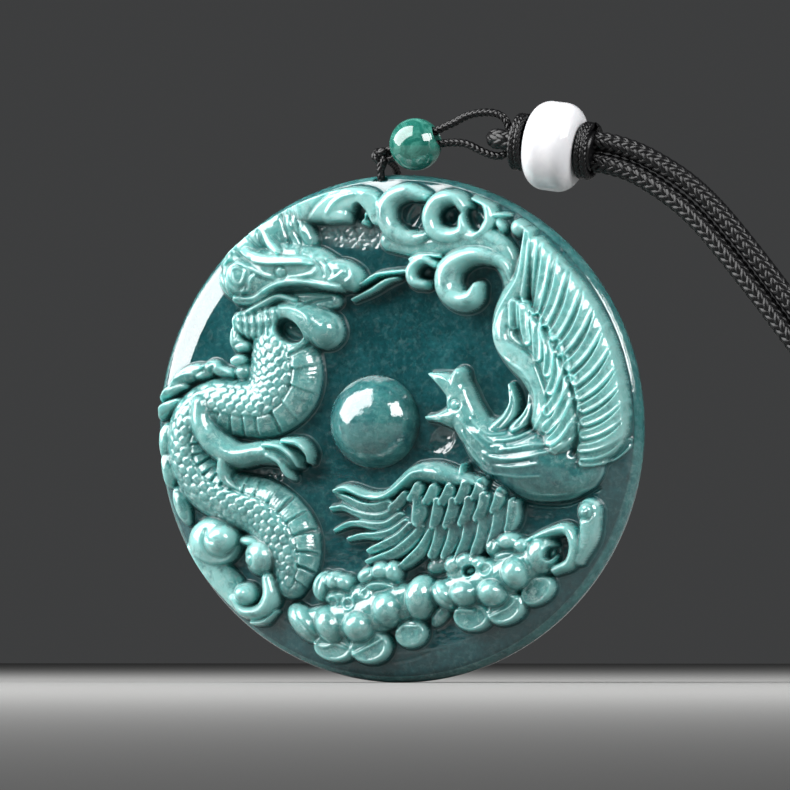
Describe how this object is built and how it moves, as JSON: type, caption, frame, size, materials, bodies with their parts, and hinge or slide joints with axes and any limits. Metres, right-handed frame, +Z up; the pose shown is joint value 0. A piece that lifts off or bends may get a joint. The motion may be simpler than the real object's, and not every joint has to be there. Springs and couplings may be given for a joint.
{
  "type": "carved jade pendant necklace",
  "caption": "Round carved jade pendant, dragon and phoenix round a pearl, hung by a thin cord with jade beads from a double braided neck cord.",
  "frame": {"origin": "underside of the neck cord at the top of its loop, where it rests on a neck or a stand's peg", "axes": "+Z up, -Y out of the carved face, +X to the right of the carved face; the flat back faces +Y"},
  "size_m": [0.166, 0.0129, 0.1566],
  "materials": {
    "jade": "polished",
    "dark_jade": "polished",
    "white_jade": "polished",
    "thin_cord": "waxed braid",
    "braided_cord": "herringbone braid",
    "winding_thread": "close wound"
  },
  "bodies": {
    "root": {"jade_disc": "jade", "hanger_knot": "thin_cord", "hanger_cord": "thin_cord", "jade_bead": "dark_jade", "hitch_loop": "thin_cord", "braided_eye": "braided_cord", "cord_core": "braided_cord", "left_winding": "winding_thread", "right_winding": "winding_thread", "white_bead": "white_jade", "neck_cord": "braided_cord"}
  },
  "joints": []
}
